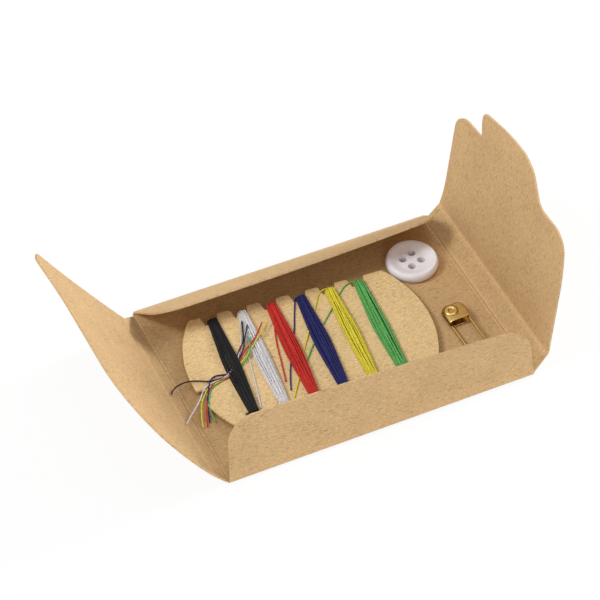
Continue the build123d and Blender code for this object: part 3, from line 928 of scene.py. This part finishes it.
cap_middle = (cap_low + cap_high) / 2
cap_foot = Vector((cap_middle.x, cap_middle.y, cap_low.z))
cap_place = Matrix.Translation(cap_foot) @ Matrix.Rotation(pin_yaw, 4, "Z")
cap_place = cap_place @ Matrix.Translation(Vector((0, -cap_length / 2, 0)))
bm = bmesh.new()
rows = []
for row in range(cap_rows + 1):
    y = cap_length * (1 - (1 - row / cap_rows) ** cap_row_power)
    rows.append([bm.verts.new(point) for point in cap_section(y)])
for low_row, high_row in zip(rows, rows[1:]):
    for step in range(cap_steps):
        bm.faces.new((low_row[step], high_row[step], high_row[step + 1], low_row[step + 1]))
bmesh.ops.transform(bm, matrix=cap_place, verts=bm.verts)
folded_cap = new_object(bm, "pin_folded_cap", brass)
thickness = folded_cap.modifiers.new("sheet", "SOLIDIFY")
thickness.thickness = cap_sheet
thickness.offset = 0
rounding = folded_cap.modifiers.new("rounded", "SUBSURF")
rounding.levels = 1
rounding.render_levels = 1
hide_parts("pin_cap")
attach(folded_cap, "safety_pin")

eyelet_profile = [(0.42, -0.36), (0.46, 0.04), (0.58, 0.20), (0.88, 0.32), (1.26, 0.28),
                  (1.58, 0.08), (1.66, -0.24)]
eyelet_centre = Vector((-0.80 * mm, 2.85 * mm, cap_high.z - cap_low.z))
eyelet_steps = 32
eyelet_tilt = radians(-7)

bm = bmesh.new()
points = [bm.verts.new((radius * mm, 0, level * mm)) for radius, level in eyelet_profile]
edges = [bm.edges.new(pair) for pair in zip(points, points[1:])]
bmesh.ops.spin(bm, geom=points + edges, cent=(0, 0, 0), axis=(0, 0, 1), angle=2 * pi,
               steps=eyelet_steps, use_merge=True)
bmesh.ops.recalc_face_normals(bm, faces=bm.faces)
eyelet_place = cap_place @ Matrix.Translation(eyelet_centre) @ Matrix.Rotation(eyelet_tilt, 4, "Y")
bmesh.ops.transform(bm, matrix=eyelet_place, verts=bm.verts)
eyelet = new_object(bm, "pin_cap_eyelet", brass)
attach(eyelet, "safety_pin")


# Needle. A slim bright sewing needle of polished steel, finely ground along its length, with a
# sharp point and a long eye. It lies loose on the base, close behind the front flap.

steel_colour = (0.62, 0.62, 0.64, 1)
steel_gloss = (0.14, 0.32)
grinding_scale = (300, 9000, 9000)

steel, shader, add = new_material("needle steel")
body = add("ShaderNodeTexCoord").outputs["Object"]
ground = add("ShaderNodeMapping", {"Vector": body, "Scale": grinding_scale})
grind = noise(add, ground.outputs["Vector"], 1.0, 3.0)
join(steel, remap(add, grind, *whole_range, *steel_gloss), shader.inputs["Roughness"])
shader.inputs["Base Color"].default_value = steel_colour
shader.inputs["Metallic"].default_value = 1.0
merged_copy("needle", "sewing_needle", steel, "needle", sharp_angle=40)


# Floor, lamps and camera.

camera_azimuth = radians(-24.959)
camera_elevation = radians(46.58)
camera_distance = 0.54533
aim_right = -0.006796
aim_up = 0.009831
sensor_width = 36
lens_length = 150
nearest_view = 0.01
farthest_view = 20

back = Vector((sin(camera_azimuth) * cos(camera_elevation),
               -cos(camera_azimuth) * cos(camera_elevation), sin(camera_elevation)))
right = Vector((cos(camera_azimuth), sin(camera_azimuth), 0))
up = back.cross(right)
camera_data = bpy.data.cameras.new("camera")
camera_data.sensor_width = sensor_width
camera_data.lens = lens_length
camera_data.clip_start = nearest_view
camera_data.clip_end = farthest_view
camera = bpy.data.objects.new("camera", camera_data)
camera.location = right * aim_right + up * aim_up + back * camera_distance
camera.rotation_euler = Matrix((right, up, back)).transposed().to_euler()
bpy.context.collection.objects.link(camera)
bpy.context.scene.camera = camera

floor_size = 6.0
floor_shadow = 0.10
floor_colour = (0.9, 0.9, 0.9, 1)
white = (1, 1, 1, 1)
ambient = 0.40


def seen_by(add, first_kind, *other_kinds):
    """1 for the given kinds of ray, and 0 for all others."""
    path = add("ShaderNodeLightPath")
    seen = path.outputs[first_kind]
    for kind in other_kinds:
        seen = calculate(add, "MAXIMUM", seen, path.outputs[kind])
    return seen


floor_material, shader, add = new_material("white floor")
shader.inputs["Base Color"].default_value = floor_colour
shader.inputs["Roughness"].default_value = 0.9
seen = seen_by(add, "Is Camera Ray", "Is Glossy Ray", "Is Transmission Ray")
share = calculate(add, "MULTIPLY", seen, 1 - floor_shadow)
glow = add("ShaderNodeEmission", {"Color": white, "Strength": 1.0})
blend = add("ShaderNodeMixShader", {0: share, 1: shader.outputs[0], 2: glow.outputs[0]})
surface = floor_material.node_tree.nodes["Material Output"].inputs["Surface"]
join(floor_material, blend.outputs[0], surface)

bm = bmesh.new()
bmesh.ops.create_grid(bm, x_segments=1, y_segments=1, size=floor_size / 2)
floor = new_object(bm, "floor", floor_material)

world = bpy.data.worlds.new("studio")
world.use_nodes = True
bpy.context.scene.world = world
add = node_maker(world)
sky = world.node_tree.nodes["Background"]
seen = seen_by(add, "Is Camera Ray", "Is Glossy Ray")
join(world, remap(add, seen, *whole_range, ambient, 1.0), sky.inputs["Strength"])
sky.inputs["Color"].default_value = white


def soft_lamp(name, place, size, power):
    lamp_data = bpy.data.lights.new(name, "AREA")
    lamp_data.size = size
    lamp_data.energy = power
    lamp = bpy.data.objects.new(name, lamp_data)
    lamp.location = place
    lamp.rotation_euler = Vector(place).to_track_quat("Z", "Y").to_euler()
    bpy.context.collection.objects.link(lamp)


soft_lamp("left lamp", (-0.7, 0.1, 0.78), 0.3, 5.0)
soft_lamp("right lamp", (1.0, 0.1, 0.51), 0.3, 5.2)
soft_lamp("low right lamp", (1.05, 0.15, 0.36), 0.4, 6.2)
soft_lamp("top lamp", (0.0, 0.0, 1.0), 0.4, 1.4)
soft_lamp("low front lamp", (-0.35, -1.1, 0.27), 0.5, 4.2)

bpy.context.scene.view_settings.view_transform = "Standard"
